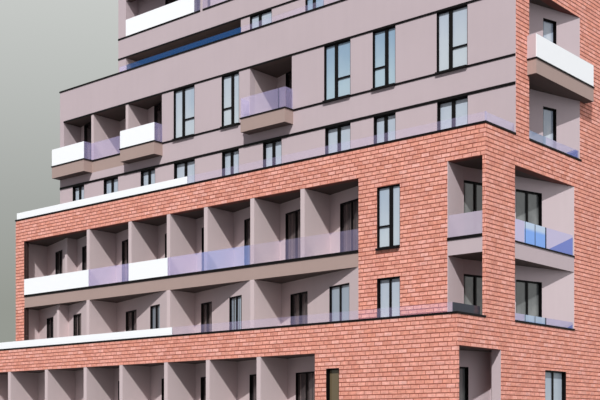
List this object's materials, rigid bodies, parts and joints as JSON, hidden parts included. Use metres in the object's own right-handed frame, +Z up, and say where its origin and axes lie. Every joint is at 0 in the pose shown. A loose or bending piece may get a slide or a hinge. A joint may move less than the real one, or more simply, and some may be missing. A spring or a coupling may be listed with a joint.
{
  "type": "apartment block",
  "caption": "Stepped-back apartment block with brick lower tiers, rendered upper tiers, saw-tooth galleries, side loggias and glazed guards.",
  "frame": {"origin": "middle of the box round the block, on the underside of the ground slab", "axes": "+X along the main front towards the loggia side, +Y from the main front to the rear, +Z up"},
  "size_m": [27.22, 16.06, 23.115],
  "materials": {
    "concrete": "cast, matt",
    "brick": "salmon facing brick with dark bed joints",
    "render": "mauve-grey smooth render",
    "edge_render": "beige-brown render on slab edges",
    "dark_metal": "near-black powder coat",
    "white_panel": "white back-painted glass guard",
    "clear_panel": "clear violet-blue tinted glass guard",
    "grey_panel": "dark grey glass guard",
    "window_glass": "pale reflecting glazing"
  },
  "bodies": {
    "root": {"ground_slab": "concrete", "upper_floors": "concrete", "roof_slab": "concrete", "lower_front_wall": "brick", "middle_front_wall": "brick", "upper_front_wall": "render", "top_front_wall": "render", "side_wall": "brick", "left_brick_walls": "brick", "left_render_walls": "render", "rear_brick_wall": "brick", "rear_render_wall": "render", "ground_gallery_walls": "render", "first_gallery_walls": "render", "second_gallery_walls": "render", "gallery_ceilings": "render", "gallery_slab_edge": "edge_render", "side_loggia_walls": "render", "high_loggia_walls": "render", "ground_loggia_walls": "render", "loggia_ceilings": "render", "loggia_slab_edges": "render", "upper_loggia_walls": "render", "top_loggia_walls": "render", "front_balconies": "edge_render", "side_balcony": "edge_render", "parapet_copings": "dark_metal", "ledge_copings": "dark_metal", "string_courses": "dark_metal", "window_sills": "dark_metal", "white_panels": "white_panel", "clear_panels": "clear_panel", "dark_panel": "grey_panel", "balcony_cheeks": "render", "guard_posts": "dark_metal", "front_window_frames": "dark_metal", "front_window_glass": "window_glass", "gallery_door_frames": "dark_metal", "gallery_door_glass": "window_glass", "loggia_door_frames": "dark_metal", "loggia_door_glass": "window_glass", "side_window_frames": "dark_metal", "side_window_glass": "window_glass", "rear_window_frames": "dark_metal", "rear_window_glass": "window_glass"}
  },
  "joints": []
}
